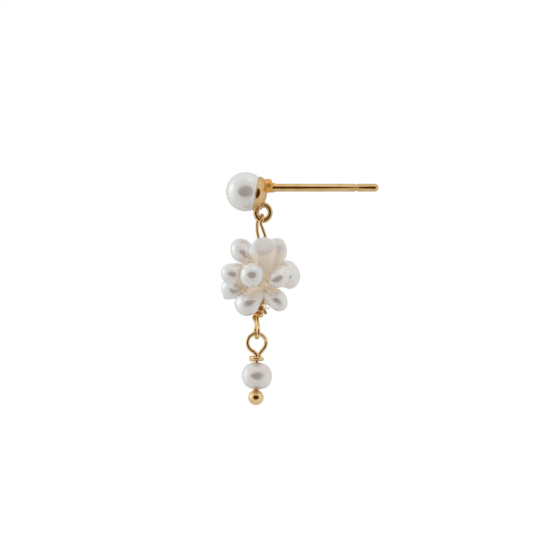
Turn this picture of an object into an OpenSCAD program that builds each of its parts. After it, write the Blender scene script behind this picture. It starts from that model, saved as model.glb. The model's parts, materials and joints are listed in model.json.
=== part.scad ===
// Pearl cluster earring: a pearl stud with a soldered ring, a ball cluster of small pearls
// on a gold wire, and a pearl charm on a head pin.
// Millimetres. +X runs along the post, +Z is up, and the origin is on the post's axis
// at the back face of its boss. The drop hangs below in the XZ plane.

/* [Ear post] */
// Diameter of the post
post_d = 0.8; // [0.7:0.05:1]
// Length of the post from the boss to its round tip
post_length = 10.8; // [9:0.1:13]
// Distance from the tip to the middle of the notch that holds the ear nut
notch_from_tip = 2.26; // [1.5:0.01:3]
// Width of the notch
notch_w = 0.3; // [0.2:0.05:0.4]
// Depth of the notch
notch_depth = 0.07; // [0.04:0.01:0.1]
// Length of the boss between the cup's back and the post
boss_length = 0.51; // [0.4:0.01:0.8]
// Diameter of the boss at the cup
boss_d = 1.6; // [1.3:0.05:1.8]
// Diameter of the boss's shoulder at the post
shoulder_d = 1.16; // [1:0.02:1.3]
// Height of the boss's axis above the post's axis
boss_up = 0.15; // [0:0.05:0.2]
// Length of the taper from the shoulder to the post
taper_length = 0.45; // [0.3:0.05:0.8]

/* [Cup and stud pearl] */
// Diameter of the stud pearl
stud_pearl_d = 4; // [3.5:0.1:5]
// Height of the post's axis above the stud pearl's centre
post_above = 0.41; // [0:0.01:0.6]
// Tilt of the cup and its peg below the post
cup_tilt = 10; // [0:1:15]
// Diameter of the cup's rim
cup_d = 3.56; // [3:0.02:3.8]
// Thickness of the cup at its middle
cup_wall = 0.23; // [0.2:0.01:0.4]
// Radius of the cup's domed back
cup_back_r = 2.94; // [2.6:0.02:3.6]
// Height of the cup's rim, measured ahead of the pearl's centre
rim_ahead = 1.05; // [0.9:0.01:1.3]
// Gap between the pearl and the metal
seat_gap = 0.03; // [0.02:0.01:0.06]
// Diameter of the peg in the pearl
peg_d = 0.7; // [0.5:0.05:0.9]
// Length of the peg inside the pearl
peg_length = 1.8; // [1:0.1:2.4]

/* [Soldered ring] */
// Diameter of the ring's wire
ring_wire_d = 0.5; // [0.4:0.02:0.6]
// Diameter of the ring, measured on its wire's centre line
ring_d = 1.6; // [1.4:0.02:2]
// Distance of the ring's centre behind the cup's lower edge
ring_behind = 0.48; // [0.3:0.01:0.6]
// Distance of the ring's centre below the cup's lower edge
ring_below = 0.09; // [0:0.01:0.3]

/* [Core wire] */
// Diameter of the core wire
wire_d = 0.34; // [0.28:0.02:0.42]
// Free play between wires that hang in each other
hang_play = 0.08; // [0.05:0.01:0.1]
// Gap between the two strands inside the cluster
strand_gap = 0.06; // [0.04:0.01:0.1]
// Angle from the ring's lowest point to where the drop hangs
hang_at = 25; // [0:1:25]
// Turn of the wire's loops, from the plane of the ring
loop_turn = 68; // [60:1:80]
// Length of bare wire from the ring to the cluster
bare_leg = 1.85; // [1.5:0.01:3]
// Height of the lower loop, from its wrap to its lowest point
low_loop_h = 2.51; // [2.2:0.01:3.2]
// Turns of the wrap above the lower loop
wrap_turns = 1.3; // [1.1:0.1:1.4]

/* [Pearl cluster] */
// Diameter of a small pearl, which the cluster's table is written in shares of
pearl_d = 2.3; // [1.9:0.05:2.9]
// Diameter of the cross holes in the small pearls
hole_d = 0.5; // [0.4:0.05:0.6]
// Diameter of the stringing thread
thread_d = 0.16; // [0.12:0.01:0.2]

/* [Charm] */
// Diameter of the head pin's wire
pin_d = 0.4; // [0.34:0.02:0.5]
// Diameter of the head pin's eye, measured on its wire's centre line
eye_d = 1.88; // [1.7:0.02:2.4]
// Diameter of the wrap under the eye, measured on its wire's centre line
collar_d = 1.14; // [1:0.02:1.4]
// Turns of the wrap under the eye
collar_turns = 1.3; // [1.1:0.1:1.6]
// Width of the charm's pearl
charm_w = 3.06; // [2.4:0.02:4]
// Height of the charm's pearl
charm_h = 2.78; // [2:0.02:4]
// Distance of the charm pearl's middle beside the pin
charm_beside = 0.05; // [0:0.01:0.1]
// Lean of the head pin to the left
pin_lean = 0.8; // [0:0.1:2]
// Diameter of the pin's ball head
ball_d = 1.56; // [1.2:0.02:2]

/* [Hidden] */
$fn = 48;
post_r = post_d / 2;
pearl_r = stud_pearl_d / 2;
seat_r = pearl_r + seat_gap;

// The cup's axis points from the pearl's centre to the post, cup_tilt below it
cup_axis = [cos(cup_tilt), -sin(cup_tilt)];
cup_up = [sin(cup_tilt), cos(cup_tilt)];
dome_from_pearl = seat_r + cup_wall - cup_back_r;
dome_z = -post_above - dome_from_pearl * sin(cup_tilt);
dome_x = -boss_length - sqrt(pow(cup_back_r, 2) - pow(dome_z, 2));
pearl_x = dome_x - dome_from_pearl * cos(cup_tilt);
pearl_z = -post_above;

// Lower corner of the cup's back, where its side meets the dome
edge_along = dome_from_pearl + sqrt(pow(cup_back_r, 2) - pow(cup_d / 2, 2));
edge_x = pearl_x + edge_along * cup_axis[0] - cup_d / 2 * cup_up[0];
edge_z = pearl_z + edge_along * cup_axis[1] - cup_d / 2 * cup_up[1];
ring_x = edge_x + ring_behind;
ring_z = edge_z - ring_below;
ring_r = ring_d / 2;

// The drop hangs on the ring's wire, whose centre line it turns about
hang_x = ring_x - ring_r * sin(hang_at);
hang_z = ring_z - ring_r * cos(hang_at);
hang_up = [sin(hang_at), 0, cos(hang_at)];
hang_across = [cos(loop_turn) * cos(hang_at), -sin(loop_turn), -cos(loop_turn) * sin(hang_at)];
loop_spare = 0.03;
top_loop_h = (ring_wire_d + wire_d) / 2 + hang_play;
top_loop_half = top_loop_h / sin(loop_turn) + loop_spare;
strand_off = (wire_d + strand_gap) / 2;

// Heights above the cluster's centre, as shares of pearl_d
legs_in = 1.78;
legs_meet = 1.1;
legs_out = -0.52;
strands_out = -1.13;
wrap_at = -1.57;
cluster_x = hang_x + 0.04;
cluster_z = hang_z - bare_leg - legs_in * pearl_d;
heart_z = -0.17 * pearl_d;

// Columns of the bare legs' table: how far down the legs, as a share of bare_leg, then the
// place between the legs and half their spread along X and Y, as shares of top_loop_half
DOWN = 0;
ASIDE = 1;
HALF_X = 2;
HALF_Y = 3;
legs = [
    [0.21, -0.2, 0.33, 0.93],
    [0.45, -0.06, 0.46, 0.93],
    [0.67, 0.09, 0.57, 0.95],
    [0.9, 0.28, 0.61, 0.98],
    [1, 0.33, 0.62, 0.98],
];

// Columns of the cluster's table: place of the middle, then the three sizes, then the spin
// about the pearl's own length, which points away from the heart, and the turn of its hole
// about that length. Places and sizes are shares of pearl_d. The rows follow the thread.
NAME = 0;
PLACE = 1;
LENGTH = 2;
WIDTH = 3;
HEIGHT = 4;
SPIN = 5;
HOLE = 6;
cluster_pearls = [
    ["pearl_low_front_left", [-0.55, -0.41, -1.11], 1.17, 1.18, 1.08, 0, 0],
    ["pearl_low_front_right", [0.67, -0.44, -0.93], 1.28, 0.96, 0.92, 0, 0],
    ["pearl_low_back_right", [0.41, 0.70, -0.79], 0.96, 0.97, 0.85, 0, -5],
    ["pearl_low_back_left", [-0.47, 0.71, -1.15], 1.04, 0.83, 0.85, 0, -10],
    ["pearl_mid_left_behind", [-1.15, 0.40, -0.48], 1.18, 0.95, 0.92, 0, 75],
    ["pearl_mid_left", [-1.18, -0.40, 0.16], 1.16, 0.99, 0.97, 0, 5],
    ["pearl_mid_front", [-0.35, -1.17, 0.11], 1.17, 1.08, 1.10, 0, -10],
    ["pearl_mid_front_right", [0.87, -0.89, 0.05], 0.96, 1.27, 0.89, 30, 0],
    ["pearl_mid_right", [1.21, 0.17, 0.11], 1.09, 0.98, 1.24, 0, -30],
    ["pearl_mid_back_right", [0.74, 1.09, 0.02], 1.09, 0.94, 0.91, 0, 5],
    ["pearl_mid_back_left", [-0.33, 1.22, -0.17], 1.04, 0.94, 0.91, 0, 0],
    ["pearl_top_left", [-0.79, 0.15, 1.15], 1.26, 1.02, 1.02, 0, 10],
    ["pearl_top_twin", [0.36, -0.72, 1.13], 1.30, 1.65, 1.05, 0, 0],
    ["pearl_top_right", [0.59, 0.46, 1.00], 1.09, 0.96, 0.91, 0, 0],
    ["pearl_top_back", [-0.35, 1.09, 0.78], 1.04, 0.91, 0.91, 0, 0],
];
core_pearl_place = [0.05, -0.02, 0.18];
core_pearl_w = 0.94 * pearl_d;
core_pearl_h = 1.08 * pearl_d;
core_hole_d = 2 * (strand_off + wire_d / 2 + strand_gap);

// The cross hole of a small pearl lies this share of its length nearer to the heart
hole_in = 0.12;

// The lower loop and the charm that hangs in it
low_x = cluster_x - 0.16 * pearl_d;
wrap_x = cluster_x - 0.13 * pearl_d;
wrap_z = cluster_z + wrap_at * pearl_d;
low_z = wrap_z - low_loop_h;
low_loop_r = (pin_d + wire_d) / 2 + hang_play + loop_spare;
eye_r = eye_d / 2;
eye_z = low_z + (pin_d + wire_d) / 2 + hang_play - eye_r;
eye_foot = 1.36 * eye_r;
collar_r = collar_d / 2;
collar_pitch = pin_d * 0.55;
collar_z = -eye_foot - pin_d / 2;
charm_gap = 0.03;
collar_foot = collar_z - collar_pitch * collar_turns - pin_d / 2;
charm_z = collar_foot - charm_gap - charm_h / 2;
ball_z = charm_z - charm_h / 2 - charm_gap - ball_d / 2;

// Points turned about an axis
function turn_y(p, a) = [p[0] * cos(a) + p[2] * sin(a), p[1], p[2] * cos(a) - p[0] * sin(a)];
function turn_z(p, a) = [p[0] * cos(a) - p[1] * sin(a), p[0] * sin(a) + p[1] * cos(a), p[2]];

// A round stretch of points in the XZ plane, from one angle to another
function arc(centre, r, from, to, steps) = [
    for (i = [0 : steps])
    let (a = from + (to - from) * i / steps)
    centre + [r * cos(a), 0, r * sin(a)]
];

// A smooth curve through chosen points, with some points added in each stretch
function smooth(points, steps) = concat(
    [for (i = [0 : len(points) - 2])
     let (
         a = points[max(i - 1, 0)],
         b = points[i],
         c = points[i + 1],
         d = points[min(i + 2, len(points) - 1)])
     for (k = [0 : steps - 1])
     let (t = k / steps)
     (2 * b + (c - a) * t + (2 * a - 5 * b + 4 * c - d) * pow(t, 2)
      + (3 * b - a - 3 * c + d) * pow(t, 3)) / 2],
    [points[len(points) - 1]]
);

// A round bar swept along points, with a radius for each point
function unit(v) = v / norm(v);
function heading(points, i) = unit(points[min(i + 1, len(points) - 1)] - points[max(i - 1, 0)]);
function sides_from(points, i, side) =
    let (t = heading(points, i), next = unit(side - (side * t) * t))
    i == len(points) - 1 ? [next] : concat([next], sides_from(points, i + 1, next));

module bar(points, radii, sides) {
    start = cross(heading(points, 0), [0.31, 0.87, 0.38]);
    across = sides_from(points, 0, start);
    rings = len(points);
    skin = [
        for (i = [0 : rings - 1])
        let (t = heading(points, i), u = across[i], v = cross(t, u))
        for (k = [0 : sides - 1])
        let (a = 360 * k / sides)
        points[i] + radii[i] * (cos(a) * u + sin(a) * v)
    ];
    walls = [
        for (i = [0 : rings - 2])
        for (k = [0 : sides - 1])
        let (a = i * sides + k, b = i * sides + (k + 1) % sides)
        for (face = [[a, a + sides, b], [b, a + sides, b + sides]])
        face
    ];
    first = [for (k = [0 : sides - 1]) k];
    last = [for (k = [sides - 1 : -1 : 0]) (rings - 1) * sides + k];
    polyhedron(skin, concat(walls, [first, last]), convexity = 8);
}

module wire(points, d, sides = 12) {
    bar(points, [for (p = points) d / 2], sides);
}

// Local frame of the cup: the pearl's centre, with Z towards the post
module cup_frame() {
    translate([pearl_x, 0, pearl_z]) rotate([0, 90 + cup_tilt, 0]) children();
}

module cup_blank() {
    cup_frame() intersection() {
        translate([0, 0, rim_ahead]) cylinder(h = 2 * pearl_r, d = cup_d);
        translate([0, 0, dome_from_pearl]) sphere(r = cup_back_r);
    }
}

module boss() {
    // It starts inside the cup's metal, where the dome falls away at its upper edge
    inside = 0.35;
    translate([-boss_length, 0, boss_up]) rotate([0, 90, 0])
        cylinder(h = boss_length, d1 = boss_d, d2 = shoulder_d);
    translate([-boss_length - inside, 0, boss_up]) rotate([0, 90, 0])
        cylinder(h = inside, d = boss_d);
    rotate([0, 90, 0]) cylinder(h = taper_length, d1 = shoulder_d - boss_up, d2 = post_d);
}

module post() {
    // The notch has a round bottom
    notch_r = (pow(notch_w / 2, 2) + pow(notch_depth, 2)) / (2 * notch_depth);
    difference() {
        union() {
            translate([-boss_length, 0, 0]) rotate([0, 90, 0])
                cylinder(h = boss_length + post_length - post_r, d = post_d);
            translate([post_length - post_r, 0, 0]) sphere(d = post_d);
        }
        translate([post_length - notch_from_tip, 0, 0]) rotate([0, 90, 0])
            rotate_extrude() translate([post_r - notch_depth + notch_r, 0]) circle(r = notch_r);
    }
}

module soldered_ring() {
    solder_d = 0.7;
    translate([ring_x, 0, ring_z]) rotate([90, 0, 0]) rotate_extrude()
        translate([ring_r, 0]) circle(d = ring_wire_d);
    translate([ring_x - ring_r * 0.45, 0, ring_z + ring_r * 0.8]) sphere(d = solder_d);
}

module ear_post() {
    color("goldenrod") union() {
        difference() {
            union() {
                cup_blank();
                boss();
                post();
                soldered_ring();
            }
            cup_frame() sphere(r = seat_r);
        }
        cup_frame() translate([0, 0, pearl_r - peg_length])
            cylinder(h = peg_length + (seat_r - pearl_r) + cup_wall / 2, d = peg_d);
    }
}

module stud_pearl() {
    color("ivory") cup_frame() difference() {
        sphere(r = pearl_r);
        translate([0, 0, pearl_r - peg_length - 2 * seat_gap])
            cylinder(h = peg_length + pearl_r, d = peg_d + 2 * seat_gap);
    }
}

// Places that are written in shares of pearl_d from the cluster's centre
function in_cluster(p) = [cluster_x, 0, cluster_z] + pearl_d * p;

// The two strands lie on either side of the drop's axis, turned by loop_turn
function off_axis(centre, half) = centre + turn_z([half, 0, 0], -loop_turn);

// One of the two legs, on the side of the front strand (1) or of the rear strand (-1)
function leg(side) = concat(
    [for (row = legs)
     [hang_x, 0, hang_z - row[DOWN] * bare_leg]
     + top_loop_half * [row[ASIDE] + side * row[HALF_X], -side * row[HALF_Y], 0]],
    [off_axis(in_cluster([0.02, 0, (legs_in + legs_meet) / 2]), side * top_loop_half * 0.8),
     off_axis(in_cluster([0, 0, legs_meet]), side * strand_off),
     off_axis(in_cluster([0, 0, 0.3]), side * strand_off),
     off_axis(in_cluster([0.03, 0, legs_out]), side * strand_off),
     off_axis(in_cluster([0.07, 0, strands_out]), side * strand_off)]
);

function core_route() =
    let (
        loop_top = [
            for (a = [157.5 : -22.5 : 22.5])
            [hang_x, 0, hang_z] + top_loop_h * sin(a) * hang_up
            + top_loop_half * cos(a) * hang_across],
        cut_end = [
            in_cluster([0.22, -0.02, -1.61]),
            in_cluster([0.19, 0.02, -1.46]),
            in_cluster([0.1, 0.06, -1.32])],
        in_wrap = [
            in_cluster([-0.13, 0.04, -1.39]),
            [wrap_x, 0, wrap_z],
            [wrap_x, 0, wrap_z - 1.5 * wire_d]],
        low_arc = [
            for (p = arc([0, 0, low_z + low_loop_r], low_loop_r, 0, -180, 8))
            [low_x, 0, 0] + turn_z(p, -loop_turn)],
        neck = [off_axis([low_x, 0, low_z + 0.62 * low_loop_h], -1.05 * strand_off)],
        wrap_r = wire_d + strand_gap,
        wrap = [
            for (i = [0 : 10 * wrap_turns])
            let (a = 170 - 36 * i)
            [wrap_x + wrap_r * cos(a), wrap_r * sin(a),
             wrap_z - 1.15 * wire_d + (wire_d + 0.04) * i / 10]]
    )
    concat(cut_end, reversed(leg(-1)), loop_top, leg(1), in_wrap, low_arc, neck, wrap);

function reversed(list) = [for (i = [len(list) - 1 : -1 : 0]) list[i]];

module core_wire() {
    color("gold") wire(smooth(core_route(), 3), wire_d, 10);
}

module pearl_core() {
    color("ivory") translate(in_cluster(core_pearl_place)) difference() {
        scale([core_pearl_w, core_pearl_w, core_pearl_h]) sphere(d = 1);
        translate([-core_pearl_place[0] * pearl_d, -core_pearl_place[1] * pearl_d, 0])
            cylinder(h = 2 * core_pearl_h, d = core_hole_d, center = true);
    }
}

// Direction from the heart to a pearl, as its turn about Z and its tilt from Z
function from_heart(pearl) = pearl_d * pearl[PLACE] - [0, 0, heart_z];
function azimuth(pearl) = atan2(from_heart(pearl)[1], from_heart(pearl)[0]);
function tilt(pearl) = acos(from_heart(pearl)[2] / norm(from_heart(pearl)));

// A point given in a pearl's own frame: Z along its length, Y across, X upright
function on_pearl(pearl, p) =
    in_cluster(pearl[PLACE]) + turn_z(turn_y(turn_z(p, pearl[SPIN]), tilt(pearl)), azimuth(pearl));

module cluster_pearl(pearl) {
    size = pearl_d * [pearl[HEIGHT], pearl[WIDTH], pearl[LENGTH]];
    color("ivory")
    translate(in_cluster(pearl[PLACE])) rotate([0, tilt(pearl), azimuth(pearl)])
    rotate([0, 0, pearl[SPIN]]) difference() {
        scale(size) sphere(d = 1);
        translate([0, 0, -hole_in * size[2]]) rotate([90, 0, pearl[HOLE]])
            cylinder(h = 2 * size[1], d = hole_d, center = true);
    }
}

// The thread runs straight through each pearl's hole and on to the next pearl
function through(pearl) =
    let (
        past_mouth = 0.1,
        across = [-sin(pearl[HOLE]), cos(pearl[HOLE]), 0],
        oval = [across[0] / pearl[HEIGHT], across[1] / pearl[WIDTH]],
        half = pearl_d / 2 * sqrt(1 - pow(2 * hole_in, 2)) / norm(oval) + past_mouth,
        inwards = [0, 0, -hole_in * pearl_d * pearl[LENGTH]]
    )
    [on_pearl(pearl, inwards - half * across), on_pearl(pearl, inwards + half * across)];

module stringing_thread() {
    tail = [[0.3, -0.38, -1.32], [0.24, 0.1, -1.12], [0.12, 0.21, -1.05], [-0.68, 0.22, -0.97]];
    route = concat(
        [for (p = tail) in_cluster(p)],
        [for (pearl = cluster_pearls) for (p = through(pearl)) p]);
    color("lightyellow") wire(route, thread_d, 8);
}

// Frame of the head pin: the eye's centre, leaning to the left
module pin_frame() {
    translate([low_x, 0, eye_z]) rotate([0, pin_lean, 0]) children();
}

function pin_route() =
    let (
        ball_top = ball_z + ball_d / 2 * cos(asin(pin_d / ball_d)),
        shank = [
            [0, 0, charm_z],
            [0, 0, collar_foot],
            [0, 0, collar_z]],
        eye = arc([0, 0, 0], eye_r, 222, -42, 16),
        foot = [[0.5 * collar_r, pin_d * 0.95, -0.97 * eye_foot]],
        collar = [
            for (i = [0 : 10 * collar_turns])
            let (a = 60 + 36 * i)
            [collar_r * cos(a), collar_r * sin(a), collar_z - collar_pitch * i / 10]]
    )
    concat([[0, 0, ball_top]], shank, smooth(concat([[0, 0, -eye_foot]], eye, foot, collar), 3));

module head_pin() {
    head = [
        for (i = [0 : 8])
        let (a = 1 + (179 - asin(pin_d / ball_d)) * i / 8)
        [ball_z - ball_d / 2 * cos(a), ball_d / 2 * sin(a)]
    ];
    route = pin_route();
    color("goldenrod") pin_frame() bar(
        concat([for (h = head) [0, 0, h[0]]], route),
        concat([for (h = head) h[1]], [for (p = route) pin_d / 2]),
        12);
}

module charm_pearl() {
    color("ivory") pin_frame() translate([charm_beside, 0, charm_z]) difference() {
        scale([charm_w, charm_w, charm_h]) sphere(d = 1);
        translate([-charm_beside, 0, 0])
            cylinder(h = 2 * charm_h, d = pin_d + 2 * seat_gap, center = true);
    }
}

ear_post();
stud_pearl();
core_wire();
stringing_thread();
pearl_core();
for (pearl = cluster_pearls)
    cluster_pearl(pearl);
head_pin();
charm_pearl();
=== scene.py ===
import json
import math

import bmesh
import bpy
from mathutils import Matrix, Vector


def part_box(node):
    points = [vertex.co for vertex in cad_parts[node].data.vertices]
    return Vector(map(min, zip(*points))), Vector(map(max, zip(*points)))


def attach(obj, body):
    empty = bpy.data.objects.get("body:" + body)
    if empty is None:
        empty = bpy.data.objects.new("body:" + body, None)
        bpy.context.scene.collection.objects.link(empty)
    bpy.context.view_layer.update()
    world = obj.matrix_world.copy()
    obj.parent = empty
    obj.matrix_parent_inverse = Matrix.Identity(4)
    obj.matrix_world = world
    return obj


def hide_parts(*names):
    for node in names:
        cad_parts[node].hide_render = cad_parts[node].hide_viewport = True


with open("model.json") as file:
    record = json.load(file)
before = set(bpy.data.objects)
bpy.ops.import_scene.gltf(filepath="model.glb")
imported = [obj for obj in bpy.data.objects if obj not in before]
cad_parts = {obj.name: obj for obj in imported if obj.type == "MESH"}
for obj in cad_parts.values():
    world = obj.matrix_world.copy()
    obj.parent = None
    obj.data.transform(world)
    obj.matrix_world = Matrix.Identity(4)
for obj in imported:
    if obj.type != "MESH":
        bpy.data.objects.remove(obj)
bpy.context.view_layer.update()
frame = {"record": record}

# Pieces are modelled in millimetres, where the frame has them, and brought to metres when finished
millimetre = 0.001
weldWithin = 1e-4  # points nearer to each other than this are merged
pickWithin = 1e-5  # a point is found again by its place within this
pointsPerTurn = 10  # of a wrap


def selectOnly(*pieces):
    bpy.ops.object.select_all(action="DESELECT")
    for piece in pieces:
        piece.select_set(True)
    bpy.context.view_layer.objects.active = pieces[0]


def joinPieces(pieces):
    selectOnly(*pieces)
    bpy.ops.object.join()
    return bpy.context.object


def applyPlace(piece, place=None):
    if place is not None:
        piece.matrix_world = place
    selectOnly(piece)
    bpy.ops.object.transform_apply(location=True, rotation=True, scale=True)


def useModifier(piece, kind, **settings):
    selectOnly(piece)
    modifier = piece.modifiers.new(kind.title(), kind)
    for name, value in settings.items():
        setattr(modifier, name, value)
    bpy.ops.object.modifier_apply(modifier=modifier.name)


def enterEdit(piece, action):  # "SELECT" for all points, "DESELECT" for none
    selectOnly(piece)
    bpy.ops.object.mode_set(mode="EDIT")
    bpy.ops.mesh.select_mode(type="VERT")
    bpy.ops.mesh.select_all(action=action)


def editPoints(piece, wanted):  # goes to edit mode with only the wanted points selected
    enterEdit(piece, "DESELECT")
    mesh = bmesh.from_edit_mesh(piece.data)
    for vert in mesh.verts:
        if wanted(vert.co):
            vert.select_set(True)
    bmesh.update_edit_mesh(piece.data)


def leaveEdit():
    bpy.ops.object.mode_set(mode="OBJECT")


def closeMesh(piece):  # merges doubles, then turns all faces outwards
    enterEdit(piece, "SELECT")
    bpy.ops.mesh.remove_doubles(threshold=weldWithin)
    bpy.ops.mesh.delete_loose()
    bpy.ops.mesh.select_all(action="SELECT")
    bpy.ops.mesh.normals_make_consistent(inside=False)
    leaveEdit()


def cutWith(piece, cutter, operation="DIFFERENCE"):
    useModifier(piece, "BOOLEAN", object=cutter, operation=operation, solver="EXACT")
    bpy.data.objects.remove(cutter)


def middleOf(node):  # middle of a node's box, in millimetres
    low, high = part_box(node)
    return (low + high) / 2 / millimetre


def jointPlace(name):
    for joint in frame["record"]["behaviour"]["joints"]:
        if joint["name"] == name:
            return Vector(joint["pos_m"]) / millimetre


def turnY(degrees):
    return Matrix.Rotation(math.radians(degrees), 4, "Y")


def arcAngles(start, end, steps):  # takes degrees and gives radians
    return [math.radians(start + (end - start) * i / steps) for i in range(steps + 1)]


def finishPiece(piece, node, body, finish, sharpAngle=40):
    words = node.split("_")
    piece.name = words[0] + "".join(word.capitalize() for word in words[1:])
    piece.data.name = piece.name
    piece.scale = (millimetre, millimetre, millimetre)
    applyPlace(piece)
    bpy.ops.object.shade_smooth_by_angle(angle=math.radians(sharpAngle))
    piece.data.materials.clear()
    piece.data.materials.append(finish["material"])
    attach(piece, body)
    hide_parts(node)


# Materials

noiseMiddle = 0.5
noiseSpan = (0.3, 0.7)  # nearly all of a noise lies between these levels


class Number:
    # wraps a socket, so that sums of sockets can be written as sums
    def __init__(self, shader, socket):
        self.shader, self.socket = shader, socket

    def sum(self, operation, first, second):
        return self.shader.add("Math", {"operation": operation}, {0: first, 1: second})

    def __add__(self, other):
        return self.sum("ADD", self, other)

    def __radd__(self, other):
        return self.sum("ADD", other, self)

    def __sub__(self, other):
        return self.sum("SUBTRACT", self, other)

    def __rsub__(self, other):
        return self.sum("SUBTRACT", other, self)

    def __mul__(self, other):
        return self.sum("MULTIPLY", self, other)

    def __rmul__(self, other):
        return self.sum("MULTIPLY", other, self)


class Shader:
    def __init__(self, tree):
        self.tree = tree
        tree.nodes.clear()

    # a node of any type: its settings first, then the values or links of its sockets
    def add(self, nodeType, settings=None, sockets=None, output=0):
        node = self.tree.nodes.new("ShaderNode" + nodeType)
        for name, value in (settings or {}).items():
            setattr(node, name, value)
        for key, value in (sockets or {}).items():
            if isinstance(value, Number):
                self.tree.links.new(value.socket, node.inputs[key])
            else:
                node.inputs[key].default_value = value
        if node.outputs:
            return Number(self, node.outputs[output])

    def mixColours(self, factor, first, second):  # a Mix node's colours are its sockets 6 and 7
        colours = [c if isinstance(c, Number) else (*c, 1) for c in (first, second)]
        return self.add("Mix", {"data_type": "RGBA"},
                        {0: factor, 6: colours[0], 7: colours[1]}, output=2)

    def fade(self, value, start, end, low=0.0, high=1.0):
        return self.add("MapRange", {"interpolation_type": "SMOOTHSTEP"},
                        {"Value": value, "From Min": start, "From Max": end,
                         "To Min": low, "To Max": high})

    def noise(self, place, grain, detail=2.0):  # grain in millimetres
        return self.add("TexNoise", {"noise_dimensions": "3D"},
                        {"Vector": place, "Scale": 1 / (grain * millimetre), "Detail": detail})

    def awayFrom(self, centre, place):  # distance in millimetres
        metres = self.add("VectorMath", {"operation": "DISTANCE"},
                          {0: place, 1: centre * millimetre}, output="Value")
        return metres * (1 / millimetre)


def newMaterial(name):
    material = bpy.data.materials.new(name)
    material.use_nodes = True
    return material, Shader(material.node_tree)


nacre = {
    "outer": (0.95, 0.944, 0.935),  # white of the pearls' outer ends
    "inner": (0.93, 0.845, 0.73),  # painted shade: warm beige towards the heart of the cluster, for shade and light bounced between the pearls
    "pink": (0.95, 0.88, 0.88),
    "blue": (0.86, 0.92, 0.93),
    "tintGrain": 2.2,
    "pinkSpan": (0.56, 0.74),  # levels of the noise at which the tint starts and is full
    "blueSpan": (0.46, 0.28),
    # middle of the painted shade, from the cluster's centre, how far it goes, and where white
    # starts
    "clusterPaintedShade": ((0.2, 0, -0.3), 2.0, 3.4),
    "twinPaintedShade": ((0.75, -1.6, 1.2), 1.6, 2.7),
    "edgeGrain": 1.3,
    "edgeDepth": 1.2,  # how unevenly the painted shade ends
    "glow": 0.10,  # painted glow: emitted light near the heart, standing in for light that comes through the pearls
    "metallic": 0.35,
    "roughness": (0.22, 0.33),
    "roughnessGrain": 0.9,
    "coat": 0.35,
    "coatRoughness": 0.12,
    "twinLustre": 0.15,  # share of the metallic and coat values that the dull twin has
}


def nacreMaterial(name, paintedShade=None, lustre=1.0):
    material, shader = newMaterial(name)
    place = shader.add("TexCoord", output="Object")
    tint = shader.noise(place, nacre["tintGrain"], detail=1.0)
    pink = shader.fade(tint, *nacre["pinkSpan"])
    blue = shader.fade(tint, *nacre["blueSpan"])
    colour = shader.mixColours(pink, nacre["outer"], nacre["pink"])
    colour = shader.mixColours(blue, colour, nacre["blue"])
    glow = (0, 0, 0, 1)
    # painted shade: warm beige round a given middle near the heart, standing in for shade and
    # light bounced between the pearls
    if paintedShade:
        middle, shadeFullTo, whiteFrom = paintedShade
        away = shader.awayFrom(clusterCentre + Vector(middle), place)
        patchy = shader.noise(place, nacre["edgeGrain"]) - noiseMiddle
        far = shader.fade(away + patchy * nacre["edgeDepth"], shadeFullTo, whiteFrom)
        colour = shader.mixColours(far, nacre["inner"], colour)
        # painted glow in the warm beige
        paintedGlow = [nacre["glow"] * part for part in nacre["inner"]]
        glow = shader.mixColours(far, paintedGlow, (0, 0, 0))
    wide = shader.noise(place, nacre["roughnessGrain"])
    surface = shader.add("BsdfPrincipled", None, {
        "Base Color": colour,
        "Metallic": nacre["metallic"] * lustre,
        "Roughness": shader.fade(wide, *noiseSpan, *nacre["roughness"]),
        "Coat Weight": nacre["coat"] * lustre,
        "Coat Roughness": nacre["coatRoughness"],
        "Emission Color": glow,
        "Emission Strength": 1.0,
    })
    shader.add("OutputMaterial", None, {"Surface": surface})
    return {"material": material, "slot": "pearl"}


gold = {
    "pin": ((0.82, 0.61, 0.33), (0.78, 0.49, 0.19)),  # lighter and deeper tone
    # painted shade: a darker copy of the pin's gold, for the cup, boss, ring and post
    "post": ((0.71, 0.49, 0.235), (0.67, 0.41, 0.15)),
    "toneGrain": 0.8,
    "toneSpan": (0.45, 0.7),
    "soldered": (0.9, 0.47, 0.09),  # painted shade: saturated orange where the pieces are soldered or squeezed together, for light bounced in the joints
    "solderedRoughness": 0.58,
    "solderedEdge": 0.3,
    # middle of the dull finish and painted joint shade, and how far from it they start to fade and
    # end
    "cupDullnessAndShade": ((-0.52, 0, 0.15), 0.68, 0.84),
    "wrapDullnessAndShade": ((-0.4, 0, -3.5), 0.35, 0.8),  # its middle is from the cluster's centre
    "roughness": (0.06, 0.12),
    "roughnessGrain": 0.15,
    "dents": 0.25,
    "dentDepth": 0.005,
}


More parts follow.
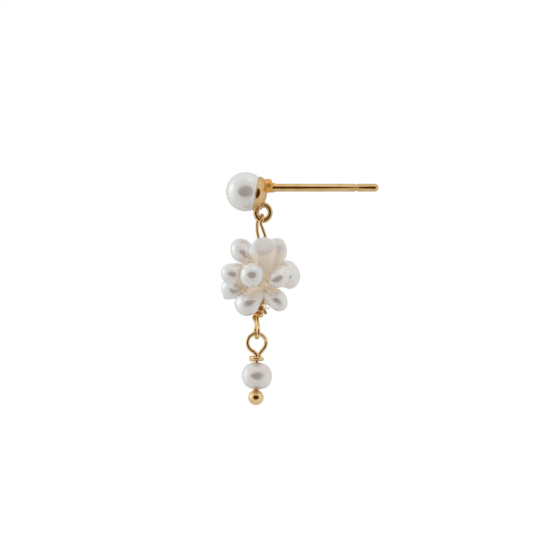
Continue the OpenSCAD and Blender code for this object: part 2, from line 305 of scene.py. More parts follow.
def goldMaterial(name, tones, dullnessAndShade=None, origin=Vector()):
    material, shader = newMaterial(name)
    place = shader.add("TexCoord", output="Object")
    cloud = shader.noise(place, gold["toneGrain"])
    fine = shader.noise(place, gold["roughnessGrain"])
    colour = shader.mixColours(shader.fade(cloud, *gold["toneSpan"]), *tones)
    roughness = shader.fade(fine, *noiseSpan, *gold["roughness"])
    if dullnessAndShade:
        middle, dullFrom, dullTo = dullnessAndShade
        away = shader.awayFrom(origin + Vector(middle), place)
        # painted joint shade in the colour, and a duller finish, near the joint
        dullAndShaded = shader.fade(away + (cloud - noiseMiddle) * gold["solderedEdge"], dullTo, dullFrom)
        colour = shader.mixColours(dullAndShaded, colour, gold["soldered"])
        roughness = roughness + dullAndShaded * (gold["solderedRoughness"] - roughness)
    bump = shader.add("Bump", None, {"Strength": gold["dents"], "Height": fine + cloud,
                                     "Distance": gold["dentDepth"] * millimetre})
    surface = shader.add("BsdfPrincipled", None, {
        "Base Color": colour,
        "Metallic": 1.0,
        "Roughness": roughness,
        "Normal": bump,
    })
    shader.add("OutputMaterial", None, {"Surface": surface})
    return {"material": material, "slot": "gold"}


cream = {
    "tones": ((0.90, 0.82, 0.70), (0.80, 0.71, 0.58)),
    "toneGrain": 0.4,
    "roughness": (0.3, 0.45),
    "subsurface": 0.3,
    "subsurfaceRadius": (1.0, 0.9, 0.7),
    "subsurfaceScale": 0.1,
}


def threadMaterial(name):
    material, shader = newMaterial(name)
    place = shader.add("TexCoord", output="Object")
    patchy = shader.noise(place, cream["toneGrain"])
    surface = shader.add("BsdfPrincipled", None, {
        "Base Color": shader.mixColours(patchy, *cream["tones"]),
        "Roughness": shader.fade(patchy, *noiseSpan, *cream["roughness"]),
        "Subsurface Weight": cream["subsurface"],
        "Subsurface Radius": cream["subsurfaceRadius"],
        "Subsurface Scale": cream["subsurfaceScale"] * millimetre,
    })
    shader.add("OutputMaterial", None, {"Surface": surface})
    return {"material": material, "slot": "thread"}


# The heart is the point that the small pearls' lengths run to
cluster = {
    "pearlSize": 2.3,
    "coreAt": (0.05, -0.02, 0.18),  # core pearl from the cluster's centre, in shares of pearlSize
    "heartBelow": 0.17,
    "holeWidth": 0.17,
    "holeInwards": 0.22,  # share of a pearl's length from its middle to its hole
    "tipStretch": 1.34,
    "tipWidth": 0.72,
    "tipStart": 0.75,  # share of the inner half's length, from its middle
    "tipFade": 0.9,  # over this share of it the narrowing dies away
    "tipReach": 0.8,  # share of a pearl's length that follows its tip when that is moved
    "smoothing": 6,
    "lumps": 0.07,
    "lumpGrain": 1.25,
}
clusterCentre = middleOf("pearl_core") - cluster["pearlSize"] * Vector(cluster["coreAt"])
heart = clusterCentre - Vector((0, 0, cluster["heartBelow"] * cluster["pearlSize"]))

nacreWhite = nacreMaterial("nacreWhite")
# the cluster's pearls and the twin carry painted shade
nacreClusterPaintedShade = nacreMaterial("nacreClusterPaintedShade", nacre["clusterPaintedShade"])
nacreTwinPaintedShade = nacreMaterial("nacreTwinPaintedShade", nacre["twinPaintedShade"], nacre["twinLustre"])
polishedGold = goldMaterial("polishedGold", gold["pin"])
postGold = goldMaterial("postGold", gold["post"], gold["cupDullnessAndShade"])
wireGold = goldMaterial("wireGold", gold["pin"], gold["wrapDullnessAndShade"], clusterCentre)
creamThread = threadMaterial("creamThread")
print("materials ready")

# Each small pearl: length from the heart, width and height as shares of pearlSize, spin about
# the length, turn of the hole and how far inwards it is, squareness, the place its inner tip is
# drawn to, pulls (direction, distance and reach), a side that is flattened (direction, depth and
# the share of it that is kept), and nudges of its front side (place in X and Z from the
# cluster's centre, move and reach)
smallPearls = {
    "pearl_low_front_left": {
        "size": (1.17, 1.18, 1.08), "hole": -30, "tip": (0.1, -0.95, -1.2),
        "pulls": [((0.95, -0.3, 0.35), 0.44, 1.3), ((-1, 0, 0.1), 0.1, 0.9)],
        "nudges": [((-0.15, -2.15), (0.3, -0.12, 0.05), 1.0), ((-1.0, -2.3), (0, -0.06, 0), 0.9)]},
    "pearl_low_front_right": {
        "size": (1.28, 0.96, 0.92), "hole": 40, "tip": (0.3, -0.95, -0.72),
        "pulls": [((-0.9, -0.35, -0.1), 0.34, 1.0), ((-0.6, 0, -0.8), -0.14, 0.9)],
        "nudges": [((0.7, -1.9), (-0.28, 0.04, 0), 0.9), ((1.5, -2.1), (0, -0.09, 0), 0.75)]},
    "pearl_low_back_right": {"size": (0.96, 0.97, 0.85), "hole": -5},
    "pearl_low_back_left": {"size": (1.04, 0.83, 0.85), "hole": -10},
    "pearl_mid_left_behind": {
        "size": (1.1, 1.02, 1.02), "hole": 75, "square": 0.2,
        "pulls": [((-0.45, 0, 0.9), 0.3, 0.8), ((0.2, 0, -1), -0.16, 1.2),
                  ((-0.8, 0, -0.6), 0.08, 0.6)],
        "nudges": [((-2.65, -0.5), (0, -0.26, 0), 0.75)]},
    "pearl_mid_left": {
        "size": (1.16, 0.99, 0.97), "hole": 5, "pulls": [((0.6, 0, 0.8), 0.25, 1.0)],
        "nudges": [((-2.6, 0), (0, -0.07, 0), 1.2)]},
    "pearl_mid_front": {"size": (1.17, 1.08, 1.10), "hole": -10, "inwards": 0.3},
    "pearl_mid_front_right": {
        "size": (0.96, 1.27, 0.89), "spin": 30, "inwards": 0.36, "tip": (0.5, -1.05, -0.7),
        "pulls": [((-0.8, -0.5, -0.1), 0.12, 0.9), ((1, 0, -0.35), -0.26, 0.9)],
        "nudges": [((2.0, 0.15), (0.1, 0, 0.08), 0.8)]},
    "pearl_mid_right": {
        "size": (1.09, 0.98, 1.24), "hole": -30,
        "pulls": [((0.35, 0, 0.95), 0.12, 0.6), ((-0.45, 0, 0.9), 0.3, 0.8)],
        "nudges": [((3.15, -0.05), (0, -0.36, 0), 1.0)]},
    "pearl_mid_back_right": {"size": (1.09, 0.94, 0.91), "hole": 5},
    "pearl_mid_back_left": {"size": (1.04, 0.94, 0.91)},
    "pearl_top_left": {
        "size": (1.26, 1.02, 1.02), "hole": 40, "tip": (-0.45, -0.45, 0.95),
        "pulls": [((-0.35, 0, -0.94), 0.4, 1.1)],
        "nudges": [((-1.55, 2.25), (0, -0.16, 0), 0.95)]},
    "pearl_top_twin": {
        "size": (1.30, 1.65, 1.05), "square": 0.15, "tip": (0.75, -1.25, 0.15),
        "pulls": [((-0.7, -0.1, 0.7), 0.07, 1.0), ((-1, 0, 0), 0.26, 1.2),
                  ((0.1, -0.75, -0.65), 0.25, 1.3)],
        "flat": ((0.05, -0.86, 0.5), 0.5, 0.35),
        "nudges": [((0.21, 3.3), (0, 0.05, 0), 0.4)]},
    "pearl_top_right": {"size": (1.09, 0.96, 0.91)},
    "pearl_top_back": {"size": (1.04, 0.91, 0.91)},
}


def pearlSizes(node):  # length, width and height
    return [share * cluster["pearlSize"] for share in smallPearls[node]["size"]]


def pearlFrame(node):  # Z along the pearl's length, away from the heart, and Y across
    outwards = middleOf(node) - heart
    tilt = math.acos(outwards.z / outwards.length)
    azimuth = math.atan2(outwards.y, outwards.x)
    spin = math.radians(smallPearls[node].get("spin", 0))
    turn = Matrix.Rotation(azimuth, 4, "Z") @ Matrix.Rotation(tilt, 4, "Y")
    return Matrix.Translation(middleOf(node)) @ turn @ Matrix.Rotation(spin, 4, "Z")


def holeFrame(node):  # X upright, Y along the hole
    looks = smallPearls[node]
    depth = looks.get("inwards", cluster["holeInwards"]) * pearlSizes(node)[0]
    turn = math.radians(looks.get("hole", 0))
    return (pearlFrame(node) @ Matrix.Translation((0, 0, -depth))
            @ Matrix.Rotation(turn, 4, "Z"))


def ovalBlob(size, middle=(0, 0, 0), segments=80):
    bpy.ops.mesh.primitive_uv_sphere_add(segments=segments, ring_count=segments // 2,
                                         radius=0.5, location=middle)
    blob = bpy.context.object
    blob.scale = size
    applyPlace(blob)
    return blob


def movePoint(piece, point, move, reach):  # moves a point and, less and less, what is near it
    start = point.co.copy()
    editPoints(piece, lambda place: (place - start).length < pickWithin)
    bpy.ops.transform.translate(value=move, use_proportional_edit=True,
                                proportional_edit_falloff="SMOOTH", proportional_size=reach)
    leaveEdit()


def foremost(piece, way):
    return max(piece.data.vertices, key=lambda vert: vert.co.dot(way))


def frontPoint(piece, x, z, among=12):  # the foremost of the points that are nearest to X and Z
    def missedBy(vert):
        return math.hypot(vert.co.x - x, vert.co.z - z)

    nearest = sorted(piece.data.vertices, key=missedBy)[:among]
    return min(nearest, key=lambda vert: vert.co.y)


def squareOff(piece, share):
    useModifier(piece, "CAST", cast_type="CUBOID", factor=share)


def pullOut(piece, pulls):
    for direction, distance, reach in pulls:
        way = Vector(direction).normalized()
        movePoint(piece, foremost(piece, way), way * distance, reach)


def nudgeFront(piece, middle, nudges):
    for (x, z), move, reach in nudges:
        movePoint(piece, frontPoint(piece, middle.x + x, middle.z + z), move, reach)


def flattenSide(piece, direction, depth, share):
    turn = Vector(direction).rotation_difference(Vector((0, 0, 1))).to_matrix().to_4x4()
    applyPlace(piece, turn)
    base = max(vert.co.z for vert in piece.data.vertices) - depth
    editPoints(piece, lambda place: place.z > base)
    bpy.ops.transform.resize(value=(1, 1, share), center_override=(0, 0, base))
    leaveEdit()
    applyPlace(piece, turn.inverted())


lumpTexture = bpy.data.textures.new("lumps", "CLOUDS")
lumpTexture.noise_scale = cluster["lumpGrain"]
lumpTexture.noise_depth = 1


def addLumps(piece, strength):
    useModifier(piece, "DISPLACE", texture=lumpTexture, texture_coords="LOCAL",
                strength=strength, mid_level=0.5)


def drawTip(piece):  # draws the half that points to the heart out to a narrower tip
    editPoints(piece, lambda place: place.z < 0)
    bpy.ops.transform.resize(value=(1, 1, cluster["tipStretch"]), center_override=(0, 0, 0))
    leaveEdit()
    low = min(vert.co.z for vert in piece.data.vertices)
    editPoints(piece, lambda place: place.z < cluster["tipStart"] * low)
    narrow = cluster["tipWidth"]
    bpy.ops.transform.resize(value=(narrow, narrow, 1), center_override=(0, 0, low),
                             use_proportional_edit=True, proportional_edit_falloff="SMOOTH",
                             proportional_size=-cluster["tipFade"] * low)
    leaveEdit()


def shapePearl(pearl, node, smoothing):  # makes each pearl a little different
    looks = smallPearls[node]
    if "square" in looks:
        squareOff(pearl, looks["square"])
    applyPlace(pearl, pearlFrame(node))
    if "tip" in looks:
        inner = foremost(pearl, heart - middleOf(node))
        movePoint(pearl, inner, clusterCentre + Vector(looks["tip"]) - inner.co,
                  cluster["tipReach"] * pearlSizes(node)[0])
    pullOut(pearl, looks.get("pulls", []))
    if "flat" in looks:
        flattenSide(pearl, *looks["flat"])
    nudgeFront(pearl, clusterCentre, looks.get("nudges", []))
    useModifier(pearl, "SMOOTH", factor=0.5, iterations=smoothing)
    addLumps(pearl, cluster["lumps"])


def drillHole(piece, place, width, depth):
    bpy.ops.mesh.primitive_cylinder_add(vertices=28, radius=width / 2, depth=depth)
    drill = bpy.context.object
    drill.matrix_world = place
    cutWith(piece, drill)


def drillForThread(pearl, node, depth):
    alongHole = holeFrame(node) @ Matrix.Rotation(math.radians(90), 4, "X")
    drillHole(pearl, alongHole, cluster["holeWidth"], depth)


def makeSmallPearl(node):
    length, width, height = pearlSizes(node)
    pearl = ovalBlob((height, width, length))
    drawTip(pearl)
    shapePearl(pearl, node, cluster["smoothing"])
    drillForThread(pearl, node, 2 * width)
    finishPiece(pearl, node, "drop", nacreClusterPaintedShade)


twin = {
    # place across, then width, height and length
    "lobes": ((-0.52, 2.75, 2.40, 2.95), (0.86, 2.12, 2.36, 2.85)),
    "grid": 0.06,
    "smoothing": 40,
    "drillLength": 8,
}


def makeTwin():
    node = "pearl_top_twin"
    pearl = joinPieces([ovalBlob((height, width, length), (0, across, 0))
                        for across, width, height, length in twin["lobes"]])
    drawTip(pearl)
    useModifier(pearl, "REMESH", mode="VOXEL", voxel_size=twin["grid"])
    shapePearl(pearl, node, twin["smoothing"])
    drillForThread(pearl, node, twin["drillLength"])
    finishPiece(pearl, node, "drop", nacreTwinPaintedShade)


corePearl = {"lumps": 0.03, "hole": 0.86, "drillLength": 6}


def makeCorePearl():
    low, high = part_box("pearl_core")
    pearl = ovalBlob((high - low) / millimetre, middleOf("pearl_core"))
    addLumps(pearl, corePearl["lumps"])
    drillHole(pearl, Matrix.Translation(clusterCentre), corePearl["hole"],
              corePearl["drillLength"])
    finishPiece(pearl, "pearl_core", "drop", nacreClusterPaintedShade)


makeTwin()
for pearlNode in smallPearls:
    if pearlNode != "pearl_top_twin":
        makeSmallPearl(pearlNode)
makeCorePearl()
print("cluster pearls ready")

studPearl = {
    "width": 4.0,
    "cupTilt": 10,  # degrees that the back of the cup faces down
    "pegHole": 0.76,
    "pegDepth": 1.86,
    "lumps": 0.025,
}


def cupFrame():  # from the stud pearl's middle, Z runs through the middle of the cup
    middle = middleOf("stud_pearl")
    middle.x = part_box("stud_pearl")[0].x / millimetre + studPearl["width"] / 2
    return Matrix.Translation(middle) @ turnY(90 + studPearl["cupTilt"])


def makeStudPearl():
    width = studPearl["width"]
    pearl = ovalBlob((width, width, width), cupFrame().translation, segments=128)
    addLumps(pearl, studPearl["lumps"])
    drillHole(pearl, cupFrame() @ Matrix.Translation((0, 0, width / 2)),
              studPearl["pegHole"], 2 * studPearl["pegDepth"])
    finishPiece(pearl, "stud_pearl", "stud", nacreWhite)


makeStudPearl()


# Wires

def sweepWire(points, width, rounds=6, kind="BEZIER"):
    curve = bpy.data.curves.new("wire", "CURVE")
    curve.dimensions = "3D"
    curve.bevel_depth = width / 2
    curve.bevel_resolution = rounds
    curve.resolution_u = 8
    curve.use_fill_caps = True
    spline = curve.splines.new(kind)
    last = len(points) - 1
    if kind == "POLY":
        spline.points.add(last)
        for knot, place in zip(spline.points, points):
            knot.co = (*place, 1)
    else:
        spline.bezier_points.add(last)
        for i, knot in enumerate(spline.bezier_points):
            before = points[i] - points[max(i - 1, 0)]
            after = points[min(i + 1, last)] - points[i]
            # a circle through this point and its two neighbours has this heading here
            heading = before * after.length ** 2 + after * before.length ** 2
            if i in (0, last):
                heading = before + after
            heading.normalize()
            knot.handle_left_type = knot.handle_right_type = "FREE"
            knot.co = points[i]
            knot.handle_left = points[i] - heading * before.length / 3
            knot.handle_right = points[i] + heading * after.length / 3
    wire = bpy.data.objects.new("wire", curve)
    bpy.context.scene.collection.objects.link(wire)
    selectOnly(wire)
    bpy.ops.object.convert(target="MESH")
    wire = bpy.context.object
    closeMesh(wire)
    return wire


def inCluster(x, y, z):
    return clusterCentre + cluster["pearlSize"] * Vector((x, y, z))


coreWire = {
    "width": 0.34,
    "ringWireWidth": 0.5,  # the soldered ring's, when it has been smoothed
    "pinWidth": 0.4,  # the charm's pin, whose eye hangs in the lower loop
    "play": 0.08,  # between a loop and what hangs in it
    "spare": 0.03,  # what a loop is wider than that needs
    "strandGap": 0.06,  # between the two strands in the ball
    "hangAt": 25,  # degrees that the top hinge slopes
    "loopTurn": 68,  # degrees that the loops are turned out of the picture's plane
    "topArc": (157.5, 22.5, 6),  # degrees at its start and end, and steps
    "lowArc": (0, -180, 8),
    "bareLeg": 1.85,  # from the top hinge down to the ball
    # how far down the bare leg, then place between the legs and half their spread in X and Y
    "legs": ((0.21, -0.2, 0.33, 0.93), (0.45, -0.06, 0.46, 0.93), (0.67, 0.09, 0.57, 0.95),
             (0.9, 0.28, 0.61, 0.98), (1, 0.33, 0.62, 0.98)),
    # places in the ball, from its centre in shares of pearlSize
    "mouth": (0.02, 0, 1.44),  # between the top pearls, where the legs go in
    "mouthSpread": 0.8,  # share of the top loop's
    "strands": ((0, 0, 1.1), (0, 0, 0.3), (0.03, 0, -0.52), (0.07, 0, -1.13)),
    "cutEnd": ((0.26, -0.04, -1.6), (0.2, -0.02, -1.47), (0.1, 0.04, -1.32)),
    "wrapMouth": (-0.13, 0.04, -1.39),  # where a strand goes into the wrap
    "wrapAt": (-0.13, 0, -1.57),  # the wrap's middle
    "strandBelow": 1.5,  # wire widths that the inner strand goes on below wrapAt
    "wrapBelow": 1.15,  # wire widths from wrapAt down to the wrap's first turn
    "wrapStart": 170,  # degrees
    "wrapTurns": 2.3,
    "wrapGap": 0.02,  # between the turns
    "wrapCloser": 0.04,  # each turn's radius is smaller by this
    "wrapAside": 0.14,  # and its middle lies further to the right by this
    "lowLoopHeight": 2.51,
    "neckAt": 0.62,  # share of lowLoopHeight
    "neckSpread": 1.05,  # share of a strand's distance from the axis
}


def coreRoute():
    wire = coreWire["width"]
    turn, lean = math.radians(coreWire["loopTurn"]), math.radians(coreWire["hangAt"])
    hang, low = jointPlace("drop_swing"), jointPlace("charm_swing")
    loopHeight = (coreWire["ringWireWidth"] + wire) / 2 + coreWire["play"]
    loopHalf = loopHeight / math.sin(turn) + coreWire["spare"]
    strandOff = (wire + coreWire["strandGap"]) / 2
    loopUp = Vector((math.sin(lean), 0, math.cos(lean)))
    loopAcross = Vector((math.cos(turn) * math.cos(lean), -math.sin(turn),
                         -math.cos(turn) * math.sin(lean)))
    outOfPlane = Matrix.Rotation(-turn, 3, "Z")

    def offAxis(centre, half):
        return centre + outOfPlane @ Vector((half, 0, 0))

    def leg(side):
        places = [hang + Vector((loopHalf * (aside + side * halfX), -side * loopHalf * halfY,
                                 -down * coreWire["bareLeg"]))
                  for down, aside, halfX, halfY in coreWire["legs"]]
        mouth = inCluster(*coreWire["mouth"])
        places.append(offAxis(mouth, side * loopHalf * coreWire["mouthSpread"]))
        for place in coreWire["strands"]:
            places.append(offAxis(inCluster(*place), side * strandOff))
        return places

    loopTop = [hang + loopHeight * math.sin(a) * loopUp + loopHalf * math.cos(a) * loopAcross
               for a in arcAngles(*coreWire["topArc"])]
    cutEnd = [inCluster(*place) for place in coreWire["cutEnd"]]
    wrapAt = inCluster(*coreWire["wrapAt"])
    inWrap = [inCluster(*coreWire["wrapMouth"]), wrapAt,
              wrapAt - Vector((0, 0, coreWire["strandBelow"] * wire))]
    lowRadius = (coreWire["pinWidth"] + wire) / 2 + coreWire["play"] + coreWire["spare"]
    lowMiddle = low + Vector((0, 0, lowRadius))
    lowArc = [lowMiddle + outOfPlane @ Vector((lowRadius * math.cos(a), 0,
                                               lowRadius * math.sin(a)))
              for a in arcAngles(*coreWire["lowArc"])]
    neckMiddle = low + Vector((0, 0, coreWire["neckAt"] * coreWire["lowLoopHeight"]))
    neck = [offAxis(neckMiddle, -coreWire["neckSpread"] * strandOff)]
    wrap = []
    for i in range(int(pointsPerTurn * coreWire["wrapTurns"]) + 1):
        turns = i / pointsPerTurn
        a = math.radians(coreWire["wrapStart"] - 360 * turns)
        radius = wire + coreWire["strandGap"] - coreWire["wrapCloser"] * turns
        wrap.append(wrapAt + Vector((
            radius * math.cos(a) + coreWire["wrapAside"] * turns, radius * math.sin(a),
            (wire + coreWire["wrapGap"]) * turns - coreWire["wrapBelow"] * wire)))
    return cutEnd + leg(-1)[::-1] + loopTop + leg(1) + inWrap + lowArc + neck + wrap


def makeCoreWire():
    wire = sweepWire(coreRoute(), coreWire["width"])
    finishPiece(wire, "core_wire", "drop", wireGold, sharpAngle=50)


makeCoreWire()

headPin = {
    "width": 0.4,
    "eyeWidth": 1.88,
    "eyeArc": (222, -42, 16),  # degrees at its start and end, and steps
    "eyeFoot": 1.36,  # eye radii from its middle down to the collar
    "eyeTwist": 0.34,  # how far back the eye's right side lies
    "twistFrom": 70,  # degrees round the eye
    # the eye's last point: share of the collar's radius, of the wire's width and of eyeFoot
    "intoCollar": (0.5, 0.95, 0.97),
    "collarWidth": 1.14,
    "collarTurns": 1.3,
    "collarStart": 60,
    "collarPitch": 0.55,  # wire widths
    "lean": 0.8,
    "ballWidth": 1.56,
    "neckWidth": 0.66,
    "neckHeight": 0.5,  # share of neckWidth
    "neckAt": 0.48,  # share of ballWidth
}


def leaningAt(middle):
    return Matrix.Translation(middle) @ turnY(headPin["lean"])


def pinRoute(ballZ):  # heights are from the eye's middle
    wire, eye = headPin["width"], headPin["eyeWidth"] / 2
    collarRadius = headPin["collarWidth"] / 2
    foot = -headPin["eyeFoot"] * eye
    collar = foot - wire / 2
    pitch = headPin["collarPitch"] * wire
    collarFoot = collar - pitch * headPin["collarTurns"] - wire / 2
    route = [Vector((0, 0, height))
             for height in (ballZ, (ballZ + collarFoot) / 2, collarFoot, collar, foot)]
    for a in arcAngles(*headPin["eyeArc"]):
        share = min(1, max(0, 1 - math.degrees(a) / headPin["twistFrom"]))
        route.append(Vector((eye * math.cos(a), headPin["eyeTwist"] * share,
                             eye * math.sin(a))))
    aside, backwards, down = headPin["intoCollar"]
    route.append(Vector((aside * collarRadius, backwards * wire, down * foot)))
    for i in range(int(pointsPerTurn * headPin["collarTurns"]) + 1):
        turns = i / pointsPerTurn
        a = math.radians(headPin["collarStart"] + 360 * turns)
        route.append(Vector((collarRadius * math.cos(a), collarRadius * math.sin(a),
                             collar - pitch * turns)))
    return route


def makeHeadPin():
    wire, ball, neck = headPin["width"], headPin["ballWidth"], headPin["neckWidth"]
    eyeTop = (wire + coreWire["width"]) / 2 + coreWire["play"]  # above the joint
    eyeMiddle = jointPlace("charm_swing") + Vector((0, 0, eyeTop - headPin["eyeWidth"] / 2))
    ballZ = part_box("head_pin")[0].z / millimetre + ball / 2 - eyeMiddle.z
    pin = sweepWire(pinRoute(ballZ), wire)
    cutWith(pin, ovalBlob((ball, ball, ball), (0, 0, ballZ), segments=48), "UNION")
    neckZ = ballZ + headPin["neckAt"] * ball
    cutWith(pin, ovalBlob((neck, neck, headPin["neckHeight"] * neck), (0, 0, neckZ),
                          segments=32), "UNION")
    applyPlace(pin, leaningAt(eyeMiddle))
    finishPiece(pin, "head_pin", "charm", polishedGold, sharpAngle=50)


makeHeadPin()

charmPearl = {
    "width": 3.06,
    "height": 2.78,
    "square": 0.1,
    "pulls": [((0.8, 0, -0.6), 0.07, 1.2)],  # pulls and nudges are as the small pearls' are
    "nudges": [((-0.3, 0.12), (0, -0.04, 0), 1.1)],
    "lumps": 0.05,
    "hole": 0.46,
    "holeAside": -0.05,
    "drillLength": 6,
}


def makeCharmPearl():
    middle = middleOf("charm_pearl")
    width = charmPearl["width"]
    pearl = ovalBlob((width, width, charmPearl["height"]), segments=112)
    squareOff(pearl, charmPearl["square"])
    applyPlace(pearl, leaningAt(middle))
    pullOut(pearl, charmPearl["pulls"])
    nudgeFront(pearl, middle, charmPearl["nudges"])
    addLumps(pearl, charmPearl["lumps"])
    drillHole(pearl, leaningAt(middle + Vector((charmPearl["holeAside"], 0, 0))),
              charmPearl["hole"], charmPearl["drillLength"])
    finishPiece(pearl, "charm_pearl", "charm", nacreWhite)


makeCharmPearl()
print("wires and charm ready")

thread = {
    "width": 0.12,
    "plyWidth": 0.52,  # share of width
    "pastMouth": 0.08,
    "twist": 0.45,  # length of one turn of the two plies
    "step": 0.11,
    "sideAtStart": (0.31, 0.87, 0.38),  # any way that isn't along the thread
    # places in the ball, as the core wire's are, up to the first pearl's hole
    "tail": ((0.4, -0.62, -1.28), (0.35, -0.66, -1.36), (0.26, -0.6, -1.34), (0.22, -0.45, -1.24),
             (0.2, 0.05, -1.12), (0.12, 0.21, -1.05), (-0.6, 0.2, -0.9)),
}


def threadRoute():
    route = [inCluster(*place) for place in thread["tail"]]
    for node, looks in smallPearls.items():
        width, height = pearlSizes(node)[1:]
        turn = math.radians(looks.get("hole", 0))
        oval = math.hypot(math.sin(turn) / height, math.cos(turn) / width)
        inwards = looks.get("inwards", cluster["holeInwards"])
        half = 0.5 * math.sqrt(1 - (2 * inwards) ** 2) / oval
        for side in (-1, 1):
            route.append(holeFrame(node) @ Vector((0, side * (half + thread["pastMouth"]), 0)))
    return route


def makePly(route, start):
    points, along, side = [], 0, Vector(thread["sideAtStart"])
    offset = thread["width"] / 4
    for first, second in zip(route, route[1:]):
        heading = (second - first).normalized()
        side = (side - side.dot(heading) * heading).normalized()
        upwards = heading.cross(side)
        length = (second - first).length
        count = max(2, round(length / thread["step"]))
        for i in range(count):
            turn = start + 2 * math.pi * (along + length * i / count) / thread["twist"]
            points.append(first + heading * length * i / count
                          + offset * (math.cos(turn) * side + math.sin(turn) * upwards))
        along += length
    return sweepWire(points, thread["width"] * thread["plyWidth"], rounds=1, kind="POLY")


def makeThread():
    plies = [makePly(threadRoute(), start) for start in (0, math.pi)]
    finishPiece(joinPieces(plies), "stringing_thread", "drop", creamThread, sharpAngle=80)


makeThread()
print("thread ready")

earPost = {
    "postWidth": 0.8,
    "length": 10.8,
    "rootLength": 0.4,  # of the post, inside the boss
    "notchAt": 8.54,
    "notchWide": 0.3,
    "notchDeep": 0.07,
    "taperLength": 0.45,
    "taperWidth": 1.01,
    "taperMiddle": 0.55,  # share of taperLength
    "taperHollow": 0.015,
    "bossAt": (-0.1, 0.28),
    "bossTilt": 11,
    # the boss, from inside the cup towards the post: radius, then place along it
    "boss": ((0, -0.9), (0.76, -0.9), (0.73, -0.56), (0.67, -0.2), (0.64, -0.06), (0.6, 0.02),
             (0.53, 0.07), (0.42, 0.1), (0, 0.11)),
    # the cup, from its rim to the middle of its back: radius, then place from the pearl's middle
    "cup": ((0, 1.05), (1.72, 1.05), (1.77, 1.10), (1.785, 1.2), (1.77, 1.36), (1.71, 1.53),
            (1.60, 1.68), (1.42, 1.82), (1.15, 1.97), (0.8, 2.10), (0.4, 2.19), (0, 2.22)),
    "seatGap": 0.03,
    "pegWidth": 0.7,
    "pegLength": 1.8,
    "pegRoot": 0.16,  # how far the peg goes on into the cup
    "ringAt": (-1.0, -2.5412),
    "ringWidth": 1.6,
    "ringWire": 0.56,
    "ringSqueeze": 0.93,
    # solder: place in X and Z, then its width, depth and height
    "solder": (((-1.42, -1.98), (0.84, 0.62, 0.62)), ((-1.62, -2.32), (0.56, 0.52, 0.95))),
    "grid": 0.036,
    "smoothing": 12,
}


def spinProfile(points):  # turns an open outline of (radius, height) about Z
    bpy.ops.mesh.primitive_circle_add(vertices=len(points), radius=1)
    piece = bpy.context.object
    for vert, (radius, height) in zip(piece.data.vertices, points):
        vert.co = (radius, 0, height)
    enterEdit(piece, "SELECT")
    bpy.ops.mesh.spin(steps=72, angle=2 * math.pi, center=(0, 0, 0), axis=(0, 0, 1))
    leaveEdit()
    closeMesh(piece)
    return piece


def postOutline():  # radius, then place along the post
    radius, length = earPost["postWidth"] / 2, earPost["length"]
    wide, taper = earPost["taperWidth"] / 2, earPost["taperLength"]
    half, deep = earPost["notchWide"] / 2, earPost["notchDeep"]
    groove = (half ** 2 + deep ** 2) / (2 * deep)
    outline = [(0, -earPost["rootLength"]), (wide, -earPost["rootLength"]), (wide, 0),
               ((radius + wide) / 2 - earPost["taperHollow"], earPost["taperMiddle"] * taper),
               (radius, taper)]
    for i in range(-3, 4):
        along = half * i / 3
        outline.append((radius - deep + groove - math.sqrt(groove ** 2 - along ** 2),
                        earPost["notchAt"] + along))
    for a in arcAngles(0, 90, 8):
        outline.append((radius * math.cos(a), length - radius + radius * math.sin(a)))
    return outline


def makeSolderedMetal():  # cup, boss, ring and solder, melted together
    cup = spinProfile(earPost["cup"])
    cup.matrix_world = cupFrame()
    boss = spinProfile(earPost["boss"])
    bossX, bossZ = earPost["bossAt"]
    boss.matrix_world = Matrix.Translation((bossX, 0, bossZ)) @ turnY(90 - earPost["bossTilt"])
    ringX, ringZ = earPost["ringAt"]
    bpy.ops.mesh.primitive_torus_add(
        major_radius=earPost["ringWidth"] / 2, minor_radius=earPost["ringWire"] / 2,
        major_segments=64, minor_segments=24, rotation=(math.radians(90), 0, 0),
        location=(ringX, 0, ringZ))
    ring = bpy.context.object
    ring.scale.x = earPost["ringSqueeze"]
    solder = [ovalBlob(size, (x, 0, z), segments=48) for (x, z), size in earPost["solder"]]
    for piece in (cup, boss, ring):
        applyPlace(piece)
    metal = joinPieces([cup, boss, ring] + solder)
    useModifier(metal, "REMESH", mode="VOXEL", voxel_size=earPost["grid"])
    useModifier(metal, "SMOOTH", factor=0.5, iterations=earPost["smoothing"])
    return metal


def makeEarPost():
    metal = makeSolderedMetal()
    pearlWidth = studPearl["width"]
    seatWidth = pearlWidth + 2 * earPost["seatGap"]
    seat = ovalBlob((seatWidth,) * 3, cupFrame().translation, segments=96)
    cutWith(metal, seat)
    post = spinProfile(postOutline())
    applyPlace(post, turnY(90))
    cutWith(metal, post, "UNION")
    bpy.ops.mesh.primitive_cylinder_add(vertices=32, radius=earPost["pegWidth"] / 2,
                                        depth=earPost["pegLength"] + earPost["pegRoot"])
    peg = bpy.context.object
    pegMiddle = (pearlWidth - earPost["pegLength"] + earPost["pegRoot"]) / 2
    applyPlace(peg, cupFrame() @ Matrix.Translation((0, 0, pegMiddle)))
    cutWith(metal, peg, "UNION")
    finishPiece(metal, "ear_post", "stud", postGold, sharpAngle=45)


makeEarPost()
print("ear post ready")

# Camera, floor and light

photo = {
    "aim": (0.745, -9.42),
    "distance": 600,
    "field": 57.14,  # millimetres that the picture is wide, at the post
    "sensor": 36,
    "clip": (20, 20000),
}


def placeCamera():
    aimX, aimZ = photo["aim"]
    place = millimetre * Vector((aimX, -photo["distance"], aimZ))
    bpy.ops.object.camera_add(location=place, rotation=(math.radians(90), 0, 0))
    camera = bpy.context.object
    camera.data.sensor_width = photo["sensor"]
    camera.data.lens = photo["sensor"] * photo["distance"] / photo["field"]
    near, far = photo["clip"]
    camera.data.clip_start, camera.data.clip_end = near * millimetre, far * millimetre
    bpy.context.scene.camera = camera


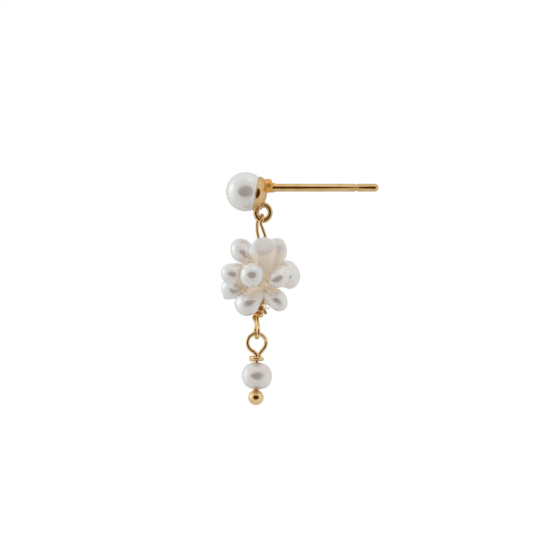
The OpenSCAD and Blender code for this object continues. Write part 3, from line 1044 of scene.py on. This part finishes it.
paper = {"size": 2, "height": -0.06, "colour": (0.92, 0.92, 0.91), "roughness": 0.8, "glow": 0.35}


def placeFloor():
    bpy.ops.mesh.primitive_plane_add(size=paper["size"], location=(0, 0, paper["height"]))
    floor = bpy.context.object
    floor.name = "floor"
    material, shader = newMaterial("paleFloor")
    paint = shader.add("BsdfPrincipled", None, {
        "Base Color": (*paper["colour"], 1), "Roughness": paper["roughness"],
        "Emission Color": (1, 1, 1, 1), "Emission Strength": paper["glow"]})
    shader.add("OutputMaterial", None, {"Surface": paint})
    floor.data.materials.append(material)
    floor.visible_glossy = floor.visible_diffuse = False


# The light of a tent round the object, with a dark opening that the camera looks through. A span
# says how near to a side's direction, as a cosine, its light starts to change and is full
studio = {
    "tent": 0.9,
    "colour": (1, 0.995, 0.98),
    "left": 0.26,  # extra brightness of the tent's left side
    "leftColour": (0.92, 0.975, 1),
    "leftWay": (-1, 0.18, 0.1),
    "leftSpan": (0.72, 0.95),
    "behind": 0.7,  # share of the brightness that is left behind the object
    "behindSpan": (0.25, 0.95),
    "below": 0.88,
    "belowSpan": (0.2, 0.95),
    "darkFrom": 38,  # the tent's opening, in degrees above and below its middle
    "darkTo": 29,
    "darkUp": 1,
    "darkStretch": 1.3,  # its width over its height
    "darkLevel": 0.09,
    "darkColour": (1, 0.45, 0.08),
    "frontSpan": (0, 0.2),
    # softboxes: place, width and power
    "leftSoftbox": ((-0.5, 0.05, 0.12), 0.3, 0.12),
    "topSoftbox": ((0.15, -0.05, 0.5), 0.3, 0.06),
    "softboxAim": (0, 0, -0.009),
}


def sineOf(degrees):
    return math.sin(math.radians(degrees))


def lightStudio():
    world = bpy.context.scene.world or bpy.data.worlds.new("studio")
    bpy.context.scene.world = world
    world.use_nodes = True
    shader = Shader(world.node_tree)
    way = shader.add("TexCoord", output="Generated")

    def side(direction, span, low=0.0, high=1.0):
        near = shader.add("VectorMath", {"operation": "DOT_PRODUCT"},
                          {0: way, 1: Vector(direction).normalized()}, output="Value")
        return shader.fade(near, *span, low, high)

    fromLeft = side(studio["leftWay"], studio["leftSpan"])
    level = studio["tent"] + studio["left"] * fromLeft
    level = level * side((0, 1, 0), studio["behindSpan"], 1, studio["behind"])
    level = level * side((0, 0, -1), studio["belowSpan"], 1, studio["below"])
    lifted = shader.add("VectorMath", {"operation": "SUBTRACT"},
                        {0: way, 1: (0, 0, sineOf(studio["darkUp"]))})
    flat = shader.add("VectorMath", {"operation": "MULTIPLY"},
                      {0: lifted, 1: (1 / studio["darkStretch"], 0, 1)})
    fromMiddle = shader.add("VectorMath", {"operation": "LENGTH"}, {0: flat}, output="Value")
    opening = shader.fade(fromMiddle, sineOf(studio["darkFrom"]), sineOf(studio["darkTo"]))
    opening = opening * side((0, -1, 0), studio["frontSpan"])
    level = level + opening * (studio["darkLevel"] - level)
    colour = shader.mixColours(fromLeft, studio["colour"], studio["leftColour"])
    colour = shader.mixColours(opening, colour, studio["darkColour"])
    tent = shader.add("Background", None, {"Color": colour, "Strength": level})
    white = shader.add("Background", None, {"Color": (1, 1, 1, 1), "Strength": 1.0})
    seen = shader.add("LightPath", output="Is Camera Ray")
    both = shader.add("MixShader", None, {0: seen, 1: tent, 2: white})
    shader.add("OutputWorld", None, {"Surface": both})


def addSoftbox(name):
    place, width, power = studio[name]
    light = bpy.data.lights.new(name, "AREA")
    light.shape, light.size, light.energy = "DISK", width, power
    softbox = bpy.data.objects.new(name, light)
    softbox.location = place
    aim = Vector(studio["softboxAim"]) - Vector(place)
    softbox.rotation_euler = aim.to_track_quat("-Z", "Y").to_euler()
    softbox.visible_camera = False
    bpy.context.scene.collection.objects.link(softbox)


placeCamera()
placeFloor()
lightStudio()
addSoftbox("leftSoftbox")
addSoftbox("topSoftbox")
bpy.context.scene.view_settings.view_transform = "Standard"
print("studio ready")
